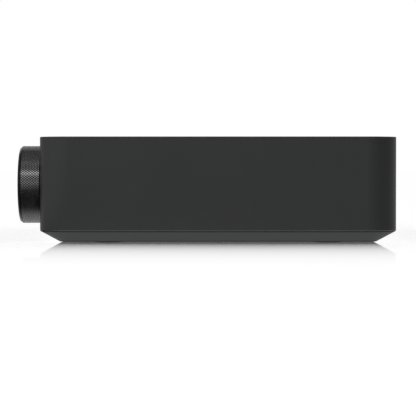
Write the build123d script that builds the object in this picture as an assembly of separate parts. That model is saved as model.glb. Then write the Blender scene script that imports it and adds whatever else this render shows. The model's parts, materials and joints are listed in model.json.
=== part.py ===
from build123d import *
import os
from math import cos, pi, sin, tau

# Compact streaming amplifier: a dark case with a chamfered base, a knurled volume knob on the front,
# and the sockets and binding posts in a recess at the back.
# Lengths are in millimetres. +X is the viewer's right from the front, +Y runs to the back, +Z is up.
# Pieces are drawn with the middle of the case at X = Y = 0 and the floor at Z = 0.

# Case
case_width = 300.0
case_depth = 230.0
case_height = 68.0
case_corner = 19.0
wall = 2.5
top_edge_round = 0.5
seam_height = 7.6
seam_gap = 0.2
seam_bevel = 0.3
roof_clearance = 0.1
roof_edge = 0.25
ledge_width = 2.0
ledge_thickness = 1.5

# Base tray
foot_drop = 0.5
chamfer_run = 12.8
tray_wall = 2.2
lip_height = 5.0
lip_thickness = 1.8
lip_clearance = 0.25

# Feet
foot_radius = 9.0
foot_thickness = 2.0
foot_edge = 0.4
foot_from_side = 38.0
foot_from_end = 43.0
foot_clearance = 0.1

# Screws that hold the case, and the pillars they go in
case_screw_radius = 1.5
case_screw_head = 2.9
case_screw_head_height = 2.0
case_screw_length = 16.0
case_screw_from_side = 24.0
case_screw_drive = 0.7
case_screw_drive_depth = 1.1
pillar_radius = 4.5
pillar_gap = 0.1
pillar_foot = 9.9
pillar_frame_gap = 1.5
screw_clearance = 0.1

# Pan-headed screws of the boards and of the rear panel
pan_radius = 1.5
pan_head = 2.8
pan_head_height = 1.6
pan_edge = 0.6
pan_slot = 0.6
pan_slot_depth = 0.8
pan_length = 5.0

# Front fascia and the wall behind it
fascia_from_side = 22.0
fascia_margin = 4.2
fascia_thickness = 1.5
fascia_corner = 6.0
fascia_clearance = 0.15
bond = 0.1
front_wall = 2.6

# Volume knob
knob_from_side = 50.0
knob_below_centre = 0.8
knob_radius = 25.5
knob_gap = 0.8
knob_press = 0.5
grip_length = 13.1
grip_bore = 22.6
knurl_depth = 0.55
knurl_count = 62
knurl_rows = 6
cap_radius = 25.1
cap_face_radius = 24.2
cap_bevel = 1.5
cap_dome = 0.1
cap_spigot = 1.0
hub_thickness = 2.7
hub_boss_radius = 6.0
hub_boss_gap = 1.4
hub_rib = 1.6
hub_rib_height = 4.0
hub_ribs = 6
knob_fit = 0.1

# Rotary encoder with push switch
shaft_radius = 3.0
shaft_flat = 1.5
shaft_running = 0.05
shaft_into_hub = 9.5
bushing_radius = 4.5
bushing_stand_out = 0.4
bushing_clearance = 0.15
nut_across_flats = 12.0
nut_thickness = 1.8
nut_opening = 8.0
encoder_side = 14.0
encoder_depth = 10.0
plunger_radius = 4.2
plunger_thickness = 1.2
plunger_stem = 1.5
plunger_stem_length = 1.1
plunger_gap = 0.1
plunger_play = 0.4
encoder_throat = 5.0

# Front board
board_thickness = 1.6
front_board_gap = 0.5
front_board_margin = 4.0
front_boss_radius = 3.0
front_boss_inset = 5.5
front_boss_drop = 4.5

# Push buttons. Their travel is shared by the front ones
button_travel = 0.6
button_stand_out = 0.8
button_edge = 0.4
button_gap = 0.15
button_flange = 1.2
button_flange_thickness = 1.0
button_flange_gap = 0.2
button_stem = 1.5
button_stop_gap = 0.1
switch_side = 6.0
switch_body = 3.5
switch_nub_radius = 1.75
switch_nub = 0.8
left_keys_from_side = 46.0
upper_row = 8.2
lower_row = -15.8
power_radius = 6.0
preset_radius = 4.0
preset_count = 6
preset_pitch = 20.0

# Display
display_x = -14.0
display_width = 96.0
display_height = 22.0
display_corner = 1.5
display_ledge = 2.5
display_glass = 1.2
display_module_border = 3.0

# Headphone socket
phones_bore = 1.8
phones_bore_depth = 15.0
phones_barrel = 4.0
phones_body = 11.0
phones_body_depth = 13.0

# Recess at the back: a moulded frame let into the rear wall, and the socket panel at the bottom of it
recess_width = 228.0
recess_margin = 10.2
recess_corner = 5.0
recess_depth = 16.0
recess_wall = 2.0
frame_clearance = 0.1
frame_edge = 0.4
frame_flange = 1.5
frame_flange_thickness = 1.6
panel_thickness = 1.5
panel_clearance = 0.3
panel_boss = 9.0
panel_boss_depth = 6.0
panel_seam_boss = 7.0
panel_seam = 0.1
cutout_clearance = 0.3
vent_width = 2.4
vent_pitch = 5.0
vent_margin = 2.4
speaker_vents = 15
speaker_vent_height = 4.6
socket_vents = 8
socket_vent_gap = 3.4
socket_vent_x = 36.0

# Binding posts, as seen from behind
pair_x = (-85.0, -45.0)
post_pitch = 19.05
block_margin = 11.5
block_height = 20.0
block_thickness = 2.5
block_corner = 4.0
block_edge = 0.5
block_sleeve = 5.2
block_sleeve_depth = 6.0
core_shank = 4.0
core_flange = 6.5
core_flange_thickness = 1.5
core_thread = 3.0
core_tip_inset = 1.8
core_tail = 1.5
core_tail_length = 6.0
core_clearance = 0.08
banana_bore = 2.0
banana_depth = 20.0
wire_hole = 1.6
wire_hole_offset = 2.2
ring_radius = 6.0
ring_thickness = 1.1
ring_gap = 0.1
post_cap_radius = 7.0
post_cap_end_inset = 1.0
post_cap_edge = 0.6
post_flutes = 12
post_flute_radius = 1.1

# RCA sockets
rca_x = -14.0
rca_drop = 9.2
rca_pitch = 18.0
rca_sub_x = 4.0
rca_block_half = 7.0
rca_block_depth = 14.0
rca_flange = 6.2
rca_flange_thickness = 1.0
rca_edge = 0.3
rca_shell_outer = 4.15
rca_shell_inner = 3.65
rca_shell_length = 8.5
rca_core = 3.55
rca_core_length = 7.6
rca_bore = 1.65
rca_bore_depth = 14.0
rca_neck = 4.2
rca_block_floor = 2.0

# Digital sockets
socket_proud = 0.4
socket_floor = 1.5
tongue_inset = 1.0
board_seat = 0.1
hdmi_x = 30.0
hdmi_width = 15.0
hdmi_height = 5.8
hdmi_wall = 0.5
hdmi_taper = 1.9
hdmi_taper_run = 1.33
hdmi_depth = 11.0
hdmi_tongue = 1.0
hdmi_tongue_width = 11.0
hdmi_tongue_rise = 0.2
ethernet_x = 50.0
ethernet_width = 16.0
ethernet_height = 13.4
ethernet_depth = 18.0
ethernet_wall = 1.6
ethernet_cavity = 14.0
ethernet_cavity_width = 11.8
ethernet_cavity_height = 8.2
ethernet_latch_width = 6.0
ethernet_latch_height = 2.6
ethernet_latch_stop = 3.0
usb_width = 13.6
usb_height = 6.4
usb_wall = 0.5
usb_depth = 14.0
usb_tongue = 1.9
usb_tongue_width = 11.2
optical_x = 68.0
optical_proud = 2.0
optical_side = 11.0
optical_depth = 14.0
optical_opening = 8.6
optical_cavity = 12.1
optical_emitter = 1.4
optical_emitter_length = 1.0
shutter_thickness = 0.8
shutter_gap = 0.2
shutter_pin = 0.6
shutter_pin_seat = 0.6
shutter_pin_end_gap = 0.2
shutter_barrel = 0.7
shutter_inset = 0.8
setup_x = 15.0
setup_drop = 12.8
setup_radius = 2.0
setup_edge = 0.3
setup_travel = 0.5
setup_switch_depth = 5.0
setup_switch_width = 6.5

# Mains inlet
mains_x = 94.0
mains_flange_width = 25.0
mains_flange_height = 16.0
mains_flange = 2.0
mains_flange_corner = 3.0
mains_flange_edge = 0.5
mains_body_width = 20.5
mains_body_height = 12.6
mains_body_depth = 20.0
mains_body_corner = 1.5
mains_mouth_width = 16.0
mains_mouth_height = 9.4
mains_mouth_depth = 13.0
mains_pin = 1.18
mains_pin_pitch = 8.6
mains_pin_length = 9.5
mains_pin_tail = 5.0
mains_pin_round = 0.9

# Boards inside, and their gaps to what is round them
board_height = 19.0
board_pillar_gap = 2.5
board_front_gap = 15.2
board_back_gap = 2.5
board_inlet_gap = 2.0
boards_gap = 3.0
power_board_width = 40.0
standoff_radius = 3.5
standoff_inset = 6.0
standoff_from_back = 12.0

# Parts on the boards
capacitor_radius = 11.0
capacitor_height = 35.0
capacitor_groove = 0.8
capacitor_groove_height = 3.0
capacitor_score = 17.6
capacitor_from_front = 18.0
capacitor_pitch = 26.0
transformer_from_front = 90.0
transformer_width = 34.0
transformer_depth = 30.0
transformer_height = 28.0
transformer_yoke = 6.0
transformer_leg = 10.0
winding_gap = 0.3
winding_corner = 5.0
sink_from_right = 57.0
sink_from_front = 74.0
sink_width = 84.0
sink_depth = 62.0
sink_base = 4.0
sink_height = 28.0
sink_fins = 13
sink_fin = 1.6
sink_pad_width = 24.0
sink_pad_height = 2.6
inductor_radius = 8.0
inductor_height = 12.0
inductor_bore = 2.5
inductor_edge = 1.0
inductor_floor = 2.0
inductor_count = 4
inductor_pitch = 20.0
inductor_sink_gap = 13.0
module_from_left = 38.0
module_from_front = 88.0
module_width = 44.0
module_depth = 32.0
module_thickness = 1.0
module_can = 26.0
module_can_height = 3.2
module_leg = 5.0
module_leg_thickness = 2.5
cable_width = 24.0
cable_thickness = 0.5
cable_from_left = 26.0
cable_height = 33.0
cable_reach = 24.0
cable_bend = 4.0
cable_lead = 8.8
cable_plug = 4.0
cable_plug_margin = 1.0


def spread(count, pitch, middle):
    """Places of count alike things about middle."""
    return [middle + (i - (count - 1) / 2) * pitch for i in range(count)]


# Places worked out from the sizes above
face_centre = (seam_height + case_height) / 2
fascia_width = case_width - 2 * fascia_from_side
fascia_height = case_height - seam_height - 2 * fascia_margin
pocket_depth = fascia_thickness + bond
wall_back = -pocket_depth - front_wall
board_face = wall_back - encoder_depth
board_top = board_height + board_thickness
knob_x = case_width / 2 - knob_from_side
knob_y = face_centre - knob_below_centre
left_keys_x = left_keys_from_side - case_width / 2
upper_y = face_centre + upper_row
lower_y = face_centre + lower_row
pillar_x = case_width / 2 - case_screw_from_side
front_board_width = 2 * (pillar_x - pillar_radius - front_board_gap)
front_board_height = fascia_height - 2 * front_board_margin
recess_height = case_height - seam_height - 2 * recess_margin
frame_width = recess_width + 2 * recess_wall
frame_height = recess_height + 2 * recess_wall
frame_corner = recess_corner + recess_wall
panel_face = -recess_depth
panel_back = panel_face - panel_thickness
tunnel_end = panel_back - panel_boss_depth
power_left = pillar_radius + board_pillar_gap - pillar_x
board_right = -power_left
board_front = -case_depth / 2 - board_face + board_thickness + board_front_gap
main_back = case_depth / 2 + tunnel_end - board_back_gap
power_right = power_left + power_board_width
power_back = case_depth / 2 + panel_face - mains_body_depth - mains_pin_tail - board_inlet_gap
main_left = power_right + boards_gap
power_x = (power_left + power_right) / 2
sink_x = board_right - sink_from_right
sink_y = board_front + sink_from_front
tray_rim = seam_height - seam_gap
tray_floor = foot_drop + tray_wall
pillar_y = case_depth / 2 + tunnel_end - pillar_radius - pillar_frame_gap
case_screws_at = [(sx * pillar_x, sy * pillar_y) for sx in (-1, 1) for sy in (-1, 0, 1)]
feet_at = [(sx * (case_width / 2 - foot_from_side), sy * (case_depth / 2 - foot_from_end))
           for sx in (-1, 1) for sy in (-1, 1)]
front_bosses_at = [(sx * (front_board_width / 2 - front_boss_inset),
                    face_centre + sy * (front_board_height / 2 - front_boss_drop))
                   for sx in (-1, 1) for sy in (-1, 1)]
presets_at = [(x, lower_y) for x in spread(preset_count, preset_pitch, display_x)]
posts_at = [x + side * post_pitch / 2 for x in pair_x for side in (-1, 1)]
post_names = ("left_minus", "left_plus", "right_minus", "right_plus")
panel_screws_at = [(sx * (recess_width - panel_boss) / 2,
                    face_centre + sy * (recess_height - panel_boss) / 2)
                   for sx in (-1, 1) for sy in (-1, 1)]
panel_seam_x = (ethernet_x + ethernet_width / 2 + optical_x - optical_side / 2) / 2
seam_screw_at = (panel_seam_x, face_centre + (recess_height - panel_boss) / 2)
main_standoffs_at = [(x, y) for x in (main_left + standoff_inset, board_right - standoff_inset)
                     for y in (board_front + standoff_inset, main_back - standoff_from_back)]
power_standoffs_at = [(x, y) for x in (power_left + standoff_inset, power_right - standoff_inset)
                      for y in (board_front + standoff_inset, power_back - standoff_from_back)]
rca_low = face_centre - rca_drop
setup_y = face_centre - setup_drop
core_flange_face = panel_face + block_thickness + core_flange_thickness
core_tip = -core_tip_inset
ring_face = core_flange_face + ring_gap
cap_seat = ring_face + ring_thickness + ring_gap

# Drawing planes: X to the right and Y up as their viewer sees them, and Z out towards the viewer
front = Plane(origin=(0, -case_depth / 2, 0), x_dir=(1, 0, 0), z_dir=(0, -1, 0))
rear = Plane(origin=(0, case_depth / 2, 0), x_dir=(-1, 0, 0), z_dir=(0, 1, 0))
knob_axis = front * Pos(knob_x, knob_y, 0)

UPWARD = (Align.CENTER, Align.CENTER, Align.MIN)
BEYOND = 1.0


def rod(radius, low, high, x=0.0, y=0.0):
    """Cylinder along Z from low to high."""
    return Pos(x, y, low) * Cylinder(radius, high - low, align=UPWARD)


def block(width, height, low, high, x=0.0, y=0.0):
    """Box about x and y, from low to high along Z."""
    return Pos(x, y, low) * Box(width, height, high - low, align=UPWARD)


def slab(width, height, corner, low, high, x=0.0, y=0.0):
    """Box with rounded upright edges, from low to high along Z."""
    return Pos(x, y, low) * extrude(RectangleRounded(width, height, corner), high - low)


def turned(*points):
    """Solid of revolution about Z, of an outline of (radius, height) points."""
    return revolve(Plane.XZ * Polygon(*points, align=None), Axis.Z)


def group(shapes):
    """Several solids as one node."""
    return Compound(list(shapes))


def pan_screw(x, y, seat):
    """Screw whose head sits on the height seat and whose shank points down."""
    top = seat + pan_head_height
    head = rod(pan_head, seat, top, x, y)
    head = chamfer(head.edges().sort_by(Axis.Z)[-1], pan_edge)
    slot = block(2 * pan_head - pan_edge, pan_slot, top - pan_slot_depth, top, x, y)
    return head - slot + rod(pan_radius, seat - pan_length, seat, x, y)


# Case

def screw_pillars():
    """Pillars from the roof down to the tray, with pilot holes."""
    pilot = pillar_foot + case_screw_length
    pillars = []
    for x, y in case_screws_at:
        pillar = rod(pillar_radius, pillar_foot + pillar_gap, case_height - wall, x, y)
        pillars.append(pillar - rod(case_screw_radius + screw_clearance, pillar_foot, pilot, x, y))
    return pillars


def front_openings():
    """What is cut through the front wall, in front coordinates."""
    low, high = wall_back - BEYOND, BEYOND
    cuts = [slab(display_width - 2 * display_ledge, display_height - 2 * display_ledge, display_corner,
                 low, high, display_x, upper_y)]
    cuts.append(rod(bushing_radius + bushing_clearance, low, high, knob_x, knob_y))
    cuts.append(rod(power_radius + button_gap, low, high, left_keys_x, upper_y))
    cuts.append(rod(phones_barrel + button_gap, low, high, left_keys_x, lower_y))
    cuts.extend(rod(preset_radius + button_gap, low, high, x, y) for x, y in presets_at)
    return cuts


def inside_walls(inset, low, high):
    """What the case's outline leaves when it is inset all round, from low to high."""
    return slab(case_width - 2 * inset, case_depth - 2 * inset, case_corner - inset, low, high)


def roof_plate():
    """Flat roof let into the walls, with the pillars that the tray is screwed to."""
    roof = inside_walls(wall + roof_clearance, case_height - wall, case_height)
    roof = chamfer(roof.faces().sort_by(Axis.Z)[-1].edges(), roof_edge)
    return roof + screw_pillars()


def wall_band():
    """Four walls in one piece, with a ledge under the roof, the front pocket and the rear opening."""
    band = slab(case_width, case_depth, case_corner, seam_height, case_height)
    band = fillet(band.faces().sort_by(Axis.Z)[-1].edges(), top_edge_round)
    band = chamfer(band.faces().sort_by(Axis.Z)[0].edges(), seam_bevel)
    roof_seat = case_height - wall
    ledge_foot = roof_seat - ledge_thickness
    room = inside_walls(wall, seam_height - BEYOND, ledge_foot)
    room = room + inside_walls(wall + ledge_width, ledge_foot - BEYOND, roof_seat)
    front_backing = front * block(case_width, 3 * case_height, wall_back, 0)
    mouth = slab(frame_width + 2 * frame_clearance, frame_height + 2 * frame_clearance,
                 frame_corner + frame_clearance, -2 * wall, BEYOND, 0, face_centre)
    band = band - inside_walls(wall, roof_seat, case_height + BEYOND) - (room - front_backing)
    band = band - rear * mouth
    pocket = slab(fascia_width + 2 * fascia_clearance, fascia_height + 2 * fascia_clearance,
                  fascia_corner + fascia_clearance, -pocket_depth, BEYOND, 0, face_centre)
    band = band - front * pocket - [front * cut for cut in front_openings()]
    bosses = [rod(front_boss_radius, board_face, wall_back + wall / 2, x, y)
              - rod(pan_radius + screw_clearance, board_face - BEYOND, board_face + pan_length, x, y)
              for x, y in front_bosses_at]
    return band + [front * boss for boss in bosses]


def recess_frame():
    """Moulded tunnel let into the rear wall, with a flange behind the wall and a boss in each corner."""
    tunnel = slab(frame_width, frame_height, frame_corner, tunnel_end, 0, 0, face_centre)
    high = -wall - bond
    low = high - frame_flange_thickness
    flange = slab(frame_width + 2 * frame_flange, frame_height + 2 * frame_flange,
                  frame_corner + frame_flange, low, high, 0, face_centre)
    bore = slab(recess_width, recess_height, recess_corner, tunnel_end - BEYOND, BEYOND, 0, face_centre)
    frame = tunnel - bore
    frame = chamfer(frame.faces().sort_by(Axis.Z)[-1].edges(), frame_edge) + (flange - bore)
    envelope = slab(recess_width + recess_wall, recess_height + recess_wall, recess_corner + recess_wall / 2,
                    tunnel_end, panel_back, 0, face_centre)
    bosses = [(panel_boss, x, y) for x, y in panel_screws_at] + [(panel_seam_boss, *seam_screw_at)]
    for width, x, y in bosses:
        frame = frame + (block(width, panel_boss, tunnel_end, panel_back, x, y) & envelope)
        frame = frame - rod(pan_radius + screw_clearance, tunnel_end - BEYOND, panel_back + BEYOND, x, y)
    return rear * frame


def tapered(inset, low, high, run):
    """Tray body: its top outline is the case's less inset, and its bottom is run smaller all round."""
    top = RectangleRounded(case_width - 2 * inset, case_depth - 2 * inset, case_corner - inset)
    bottom = RectangleRounded(case_width - 2 * (inset + run), case_depth - 2 * (inset + run),
                              case_corner - inset - run)
    return loft([Pos(0, 0, low) * bottom, Pos(0, 0, high) * top], ruled=True)


def base_tray():
    """Chamfered pan with an inner lip, foot pockets, screw seats and board standoffs."""
    shell = tapered(0, foot_drop, tray_rim, chamfer_run)
    lip_inset = wall + lip_clearance
    inner = lip_inset + lip_thickness
    rise = tray_rim - foot_drop
    slope = chamfer_run / rise
    hollow_run = chamfer_run - slope * tray_wall
    hollow = tapered(inner, tray_floor, tray_rim, hollow_run)
    lip = slab(case_width - 2 * lip_inset, case_depth - 2 * lip_inset, case_corner - lip_inset,
               tray_rim - BEYOND, tray_rim + lip_height)
    well = slab(case_width - 2 * inner, case_depth - 2 * inner, case_corner - inner,
                tray_rim - 2 * BEYOND, tray_rim + lip_height + BEYOND)
    tray = shell + (lip - well) - hollow
    front_relief = front * block(case_width, 3 * case_height, wall_back - lip_clearance, -wall,
                                 0, tray_rim + 1.5 * case_height)
    tray = tray - front_relief
    tray = tray + [rod(pillar_radius, foot_drop + BEYOND, pillar_foot, x, y) for x, y in case_screws_at]
    tray = tray + [rod(standoff_radius, tray_floor - BEYOND, board_height, x, y)
                   for x, y in main_standoffs_at + power_standoffs_at]
    head_seat = foot_drop + case_screw_head_height + screw_clearance
    for x, y in case_screws_at:
        tray = tray - rod(case_screw_head + screw_clearance, 0, head_seat, x, y)
        tray = tray - rod(case_screw_radius + screw_clearance, 0, pillar_foot + BEYOND, x, y)
    for x, y in main_standoffs_at + power_standoffs_at:
        low, high = board_height - pan_length, board_height + BEYOND
        tray = tray - rod(pan_radius + screw_clearance, low, high, x, y)
    pocket = foot_thickness - foot_drop
    for x, y in feet_at:
        tray = tray - rod(foot_radius + foot_clearance, 0, foot_drop + pocket, x, y)
    return tray


def feet():
    """Rubber pads with a bevelled edge."""
    pad = turned((0, 0), (foot_radius - foot_edge, 0), (foot_radius, foot_edge),
                 (foot_radius, foot_thickness), (0, foot_thickness))
    return group(Pos(x, y, 0) * pad for x, y in feet_at)


def case_screws():
    """Countersunk-seat screws that hold the tray to the pillars."""
    screws = []
    low = foot_drop + screw_clearance
    for x, y in case_screws_at:
        head = rod(case_screw_head, low, low + case_screw_head_height, x, y)
        cross = [block(case_screw_head, case_screw_drive, 0, low + case_screw_drive_depth, x, y),
                 block(case_screw_drive, case_screw_head, 0, low + case_screw_drive_depth, x, y)]
        shank = rod(case_screw_radius, low + case_screw_head_height, low + case_screw_length, x, y)
        screws.append(head - cross + shank)
    return group(screws)


def front_fascia():
    """Gloss panel that fills the pocket of the front wall."""
    panel = slab(fascia_width, fascia_height, fascia_corner, -fascia_thickness, 0, 0, face_centre)
    panel = chamfer(panel.faces().sort_by(Axis.Z)[-1].edges(), bond)
    low, high = -fascia_thickness - BEYOND, BEYOND
    cuts = [slab(display_width, display_height, display_corner, low, high, display_x, upper_y),
            rod(nut_opening, low, high, knob_x, knob_y)]
    return front * (panel - cuts - front_openings())


def display_window():
    """Smoked lens, flush in the fascia."""
    lens = slab(display_width - 2 * fascia_clearance, display_height - 2 * fascia_clearance,
                display_corner - fascia_clearance, -fascia_thickness, 0, display_x, upper_y)
    return front * lens


def display_module():
    """Display glass on its carrier board, against the back of the front wall."""
    width = display_width - 2 * display_ledge
    height = display_height - 2 * display_ledge
    glass_back = wall_back - display_glass
    glass = block(width, height, glass_back, wall_back - bond, display_x, upper_y)
    board = block(width + 2 * display_module_border, height + 2 * display_module_border,
                  glass_back - board_thickness, glass_back, display_x, upper_y)
    foam = block(width, height / 3, board_face, glass_back - board_thickness, display_x, upper_y)
    return front * (glass + board + foam)


# Volume knob and encoder

def knurled_bar(radius, depth, count, rows, low, high):
    """Bar with a diamond knurl: pyramids whose tips and corners alternate on a lattice round it.
    The tips stand at radius, and the corners and both end rings lie depth below."""
    step = (high - low) / rows

    def point(k, j):
        tip = (k + j) % 2 == 0 and 0 < k < rows
        r = radius if tip else radius - depth
        angle = pi * j / count
        return (r * cos(angle), r * sin(angle), low + k * step)

    faces = []
    for k in range(rows):
        for j in range(2 * count):
            corners = [point(k, j), point(k, j + 1), point(k + 1, j + 1), point(k + 1, j)]
            first = 0 if (k + j) % 2 else 1
            a, b, c, d = corners[first:] + corners[:first]
            for triangle in ((a, b, c), (a, c, d)):
                faces.append(Face(Wire.make_polygon(triangle, close=True)))
    ring = range(2 * count)
    faces.append(Face(Wire.make_polygon([point(0, j) for j in reversed(ring)], close=True)))
    faces.append(Face(Wire.make_polygon([point(rows, j) for j in ring], close=True)))
    return Solid(Shell(faces))


def knob_grip():
    """Knurled ring that the fingers turn."""
    bar = knurled_bar(knob_radius, knurl_depth, knurl_count, knurl_rows, knob_gap, knob_gap + grip_length)
    bore = rod(grip_bore, 0, knob_gap + grip_length + BEYOND)
    return knob_axis * (bar - bore)


def knob_cap():
    """Gloss disc on the front of the ring, with a bevelled rim and a faint dome."""
    seat = knob_gap + grip_length
    spigot = grip_bore - knob_fit
    face = seat + cap_bevel
    cap = turned((0, seat - cap_spigot), (spigot, seat - cap_spigot), (spigot, seat), (cap_radius, seat),
                 (cap_radius, seat + 0.25 * cap_bevel), (cap_face_radius, face),
                 (cap_face_radius / 2, face + 0.75 * cap_dome), (cap_face_radius / 4, face + cap_dome),
                 (0, face + cap_dome))
    return knob_axis * cap


def knob_hub():
    """Moulded insert that carries the ring on the shaft."""
    top = knob_gap + grip_length - cap_spigot - knob_fit
    base = top - hub_thickness
    outer = grip_bore - knob_fit
    hub = rod(outer, base, top) + rod(hub_boss_radius, hub_boss_gap, base)
    for i in range(hub_ribs):
        length = outer - hub_boss_radius / 2
        rib = block(length, hub_rib, base - hub_rib_height, base, outer - length / 2)
        hub = hub + Rot(0, 0, i * 360 / hub_ribs) * rib
    hub = hub & rod(outer, 0, top)
    bore = shaft_profile(shaft_running, 0, hub_boss_gap + shaft_into_hub + knob_fit)
    return knob_axis * (hub - bore)


def shaft_profile(grow, low, high):
    """D-shaped bar, grown all round by grow."""
    bar = rod(shaft_radius + grow, low, high)
    flat = block(2 * shaft_radius, 4 * shaft_radius, low, high, shaft_radius + shaft_flat + grow)
    return bar - flat


def shaft_end():
    """Height of the shaft's inner end, just past the throat of the encoder."""
    return wall_back - encoder_throat - plunger_play


def encoder_shaft():
    """Round shaft with a D-shaped front end."""
    flat_from = hub_boss_gap - knob_press
    shaft = rod(shaft_radius, shaft_end(), flat_from)
    return knob_axis * (shaft + shaft_profile(0, flat_from, hub_boss_gap + shaft_into_hub))


def encoder_housing():
    """Encoder body with its threaded bushing, bored for the shaft and hollow for the push plunger."""
    throat = wall_back - encoder_throat
    body = block(encoder_side, encoder_side, board_face, wall_back)
    bushing = rod(bushing_radius, wall_back, bushing_stand_out)
    bore = rod(shaft_radius + shaft_running, throat - BEYOND, bushing_stand_out + BEYOND)
    floor = shaft_end() - plunger_gap - plunger_thickness - plunger_stem_length - knob_press - plunger_gap
    chamber = rod(plunger_radius + plunger_play, floor, throat)
    return knob_axis * (body + bushing - bore - chamber)


def encoder_nut():
    """Hexagon nut that clamps the encoder to the front wall."""
    blank = extrude(RegularPolygon(nut_across_flats / 2, 6, major_radius=False), nut_thickness)
    nut = Pos(0, 0, -pocket_depth) * blank
    return knob_axis * (nut - rod(bushing_radius + screw_clearance, -2 * pocket_depth, nut_thickness))


def encoder_plunger():
    """Push plunger behind the shaft, which works the encoder's switch."""
    face = shaft_end() - plunger_gap
    disc = rod(plunger_radius, face - plunger_thickness, face)
    stem = rod(plunger_stem, face - plunger_thickness - plunger_stem_length, face - plunger_thickness)
    return knob_axis * (disc + stem)


# Front controls

def push_button(radius, x, y):
    """Round key with a flange behind the wall and a stem that reaches its switch."""
    top = button_stand_out
    flange_front = wall_back - button_flange_gap
    flange_back = flange_front - button_flange_thickness
    stem_end = board_face + switch_body + switch_nub + button_travel + button_stop_gap
    profile = turned((0, stem_end), (button_stem, stem_end), (button_stem, flange_back),
                     (radius + button_flange, flange_back), (radius + button_flange, flange_front),
                     (radius, flange_front), (radius, top - button_edge), (radius - button_edge, top),
                     (0, top))
    return front * Pos(x, y, 0) * profile


def front_board():
    """Board that carries the switches and the encoder, screwed to the bosses of the front wall."""
    back = board_face - board_thickness
    board = block(front_board_width, front_board_height, back, board_face, 0, face_centre)
    low, high = back - BEYOND, board_face + BEYOND
    notch = phones_body + 2 * cutout_clearance
    board = board - block(notch, notch, low, high, left_keys_x, lower_y)
    holes = [rod(pan_radius + screw_clearance, low, high, x, y) for x, y in front_bosses_at]
    return front * (board - holes)


def tact_switches():
    """One switch behind each key, and the setup switch on the main board."""
    switches = []
    for x, y in presets_at + [(left_keys_x, upper_y)]:
        body = block(switch_side, switch_side, board_face, board_face + switch_body, x, y)
        nub = rod(switch_nub_radius, board_face + switch_body, board_face + switch_body + switch_nub, x, y)
        switches.append(front * (body + nub))
    far = setup_switch_face() - setup_switch_depth
    top = setup_y + switch_side / 2
    body = block(setup_switch_width, top - board_top - board_seat, far, setup_switch_face(),
                 setup_x, (top + board_top + board_seat) / 2)
    switches.append(rear * body)
    return group(switches)


def setup_switch_face():
    """Where the setup switch's face lies behind the panel, in rear coordinates."""
    return panel_back - button_flange_gap - button_flange_thickness - setup_travel - button_stop_gap


def headphone_socket():
    """Socket with a barrel through the front wall and its body behind."""
    barrel = rod(phones_barrel, wall_back, 0)
    body = block(phones_body, phones_body, wall_back - phones_body_depth, wall_back)
    bore = rod(phones_bore, -phones_bore_depth, BEYOND)
    return front * Pos(left_keys_x, lower_y, 0) * (barrel + body - bore)


# Back: panel and sockets, in rear coordinates

def cutout(width, height, x, y, corner=0.5):
    """Hole in the panel round a socket of that size."""
    return slab(width + 2 * cutout_clearance, height + 2 * cutout_clearance, corner,
                panel_back - BEYOND, panel_face + BEYOND, x, y)


def on_board(height):
    """Height of the middle of a socket that stands on the main board."""
    return board_top + board_seat + height / 2


def pierced_panel():
    """Plate at the bottom of the recess, with a hole for each socket and two rows of vents."""
    panel = slab(recess_width - 2 * panel_clearance, recess_height - 2 * panel_clearance,
                 recess_corner - panel_clearance, panel_back, panel_face, 0, face_centre)
    low, high = panel_back - BEYOND, panel_face + BEYOND
    cuts = [rod(block_sleeve + cutout_clearance, low, high, x, face_centre) for x in posts_at]
    cuts.extend(rod(rca_neck + cutout_clearance, low, high, x, y) for x, y in rca_at().values())
    cuts.append(cutout(hdmi_width, hdmi_height, hdmi_x, on_board(hdmi_height)))
    cuts.append(cutout(ethernet_width, ethernet_height, ethernet_x, on_board(ethernet_height)))
    cuts.append(cutout(usb_width, usb_height, ethernet_x, usb_y()))
    cuts.append(cutout(optical_side, optical_side, optical_x, on_board(optical_side)))
    cuts.append(cutout(mains_body_width, mains_body_height, mains_x, face_centre))
    cuts.append(rod(setup_radius + button_gap, low, high, setup_x, setup_y))
    cuts.extend(rod(pan_radius + screw_clearance, low, high, x, y)
                for x, y in panel_screws_at + [seam_screw_at])
    vent_top = face_centre + recess_height / 2 - vent_margin
    vent_floor = usb_y() + usb_height / 2 + socket_vent_gap
    cuts.extend(vent(x, vent_top - speaker_vent_height, vent_top)
                for x in spread(speaker_vents, vent_pitch, sum(pair_x) / 2))
    cuts.extend(vent(x, vent_floor, vent_top) for x in spread(socket_vents, vent_pitch, socket_vent_x))
    return panel - cuts


def beside_seam(side):
    """All of the recess on one side of the seam between the two plates: -1 is left and 1 right."""
    x = panel_seam_x + side * (panel_seam + recess_width) / 2
    return block(recess_width, 2 * recess_height, panel_back - BEYOND, panel_face + BEYOND, x, face_centre)


def rear_panel():
    """Steel plate with the holes for speakers and data, up to the seam."""
    return rear * (pierced_panel() & beside_seam(-1))


def mains_panel():
    """Smaller steel plate beyond the seam, for the optical socket and the mains inlet."""
    return rear * (pierced_panel() & beside_seam(1))


def vent(x, bottom, top):
    """Round-ended upright slot through the panel."""
    slot = extrude(SlotOverall(top - bottom, vent_width, 90), panel_thickness + 2 * BEYOND)
    return Pos(x, (bottom + top) / 2, panel_back - BEYOND) * slot


def terminal_block():
    """Moulding on the panel that insulates the four posts, with a sleeve through the panel for each."""
    face = panel_face + block_thickness
    width = posts_at[-1] - posts_at[0] + 2 * block_margin
    plate = slab(width, block_height, block_corner, panel_face, face, sum(pair_x) / 2, face_centre)
    plate = chamfer(plate.faces().sort_by(Axis.Z)[-1].edges(), block_edge)
    low = panel_face - block_sleeve_depth
    for x in posts_at:
        plate = plate + rod(block_sleeve, low, panel_face, x, face_centre)
        plate = plate - rod(core_shank + core_clearance, low - BEYOND, face + BEYOND, x, face_centre)
    return rear * plate


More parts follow.
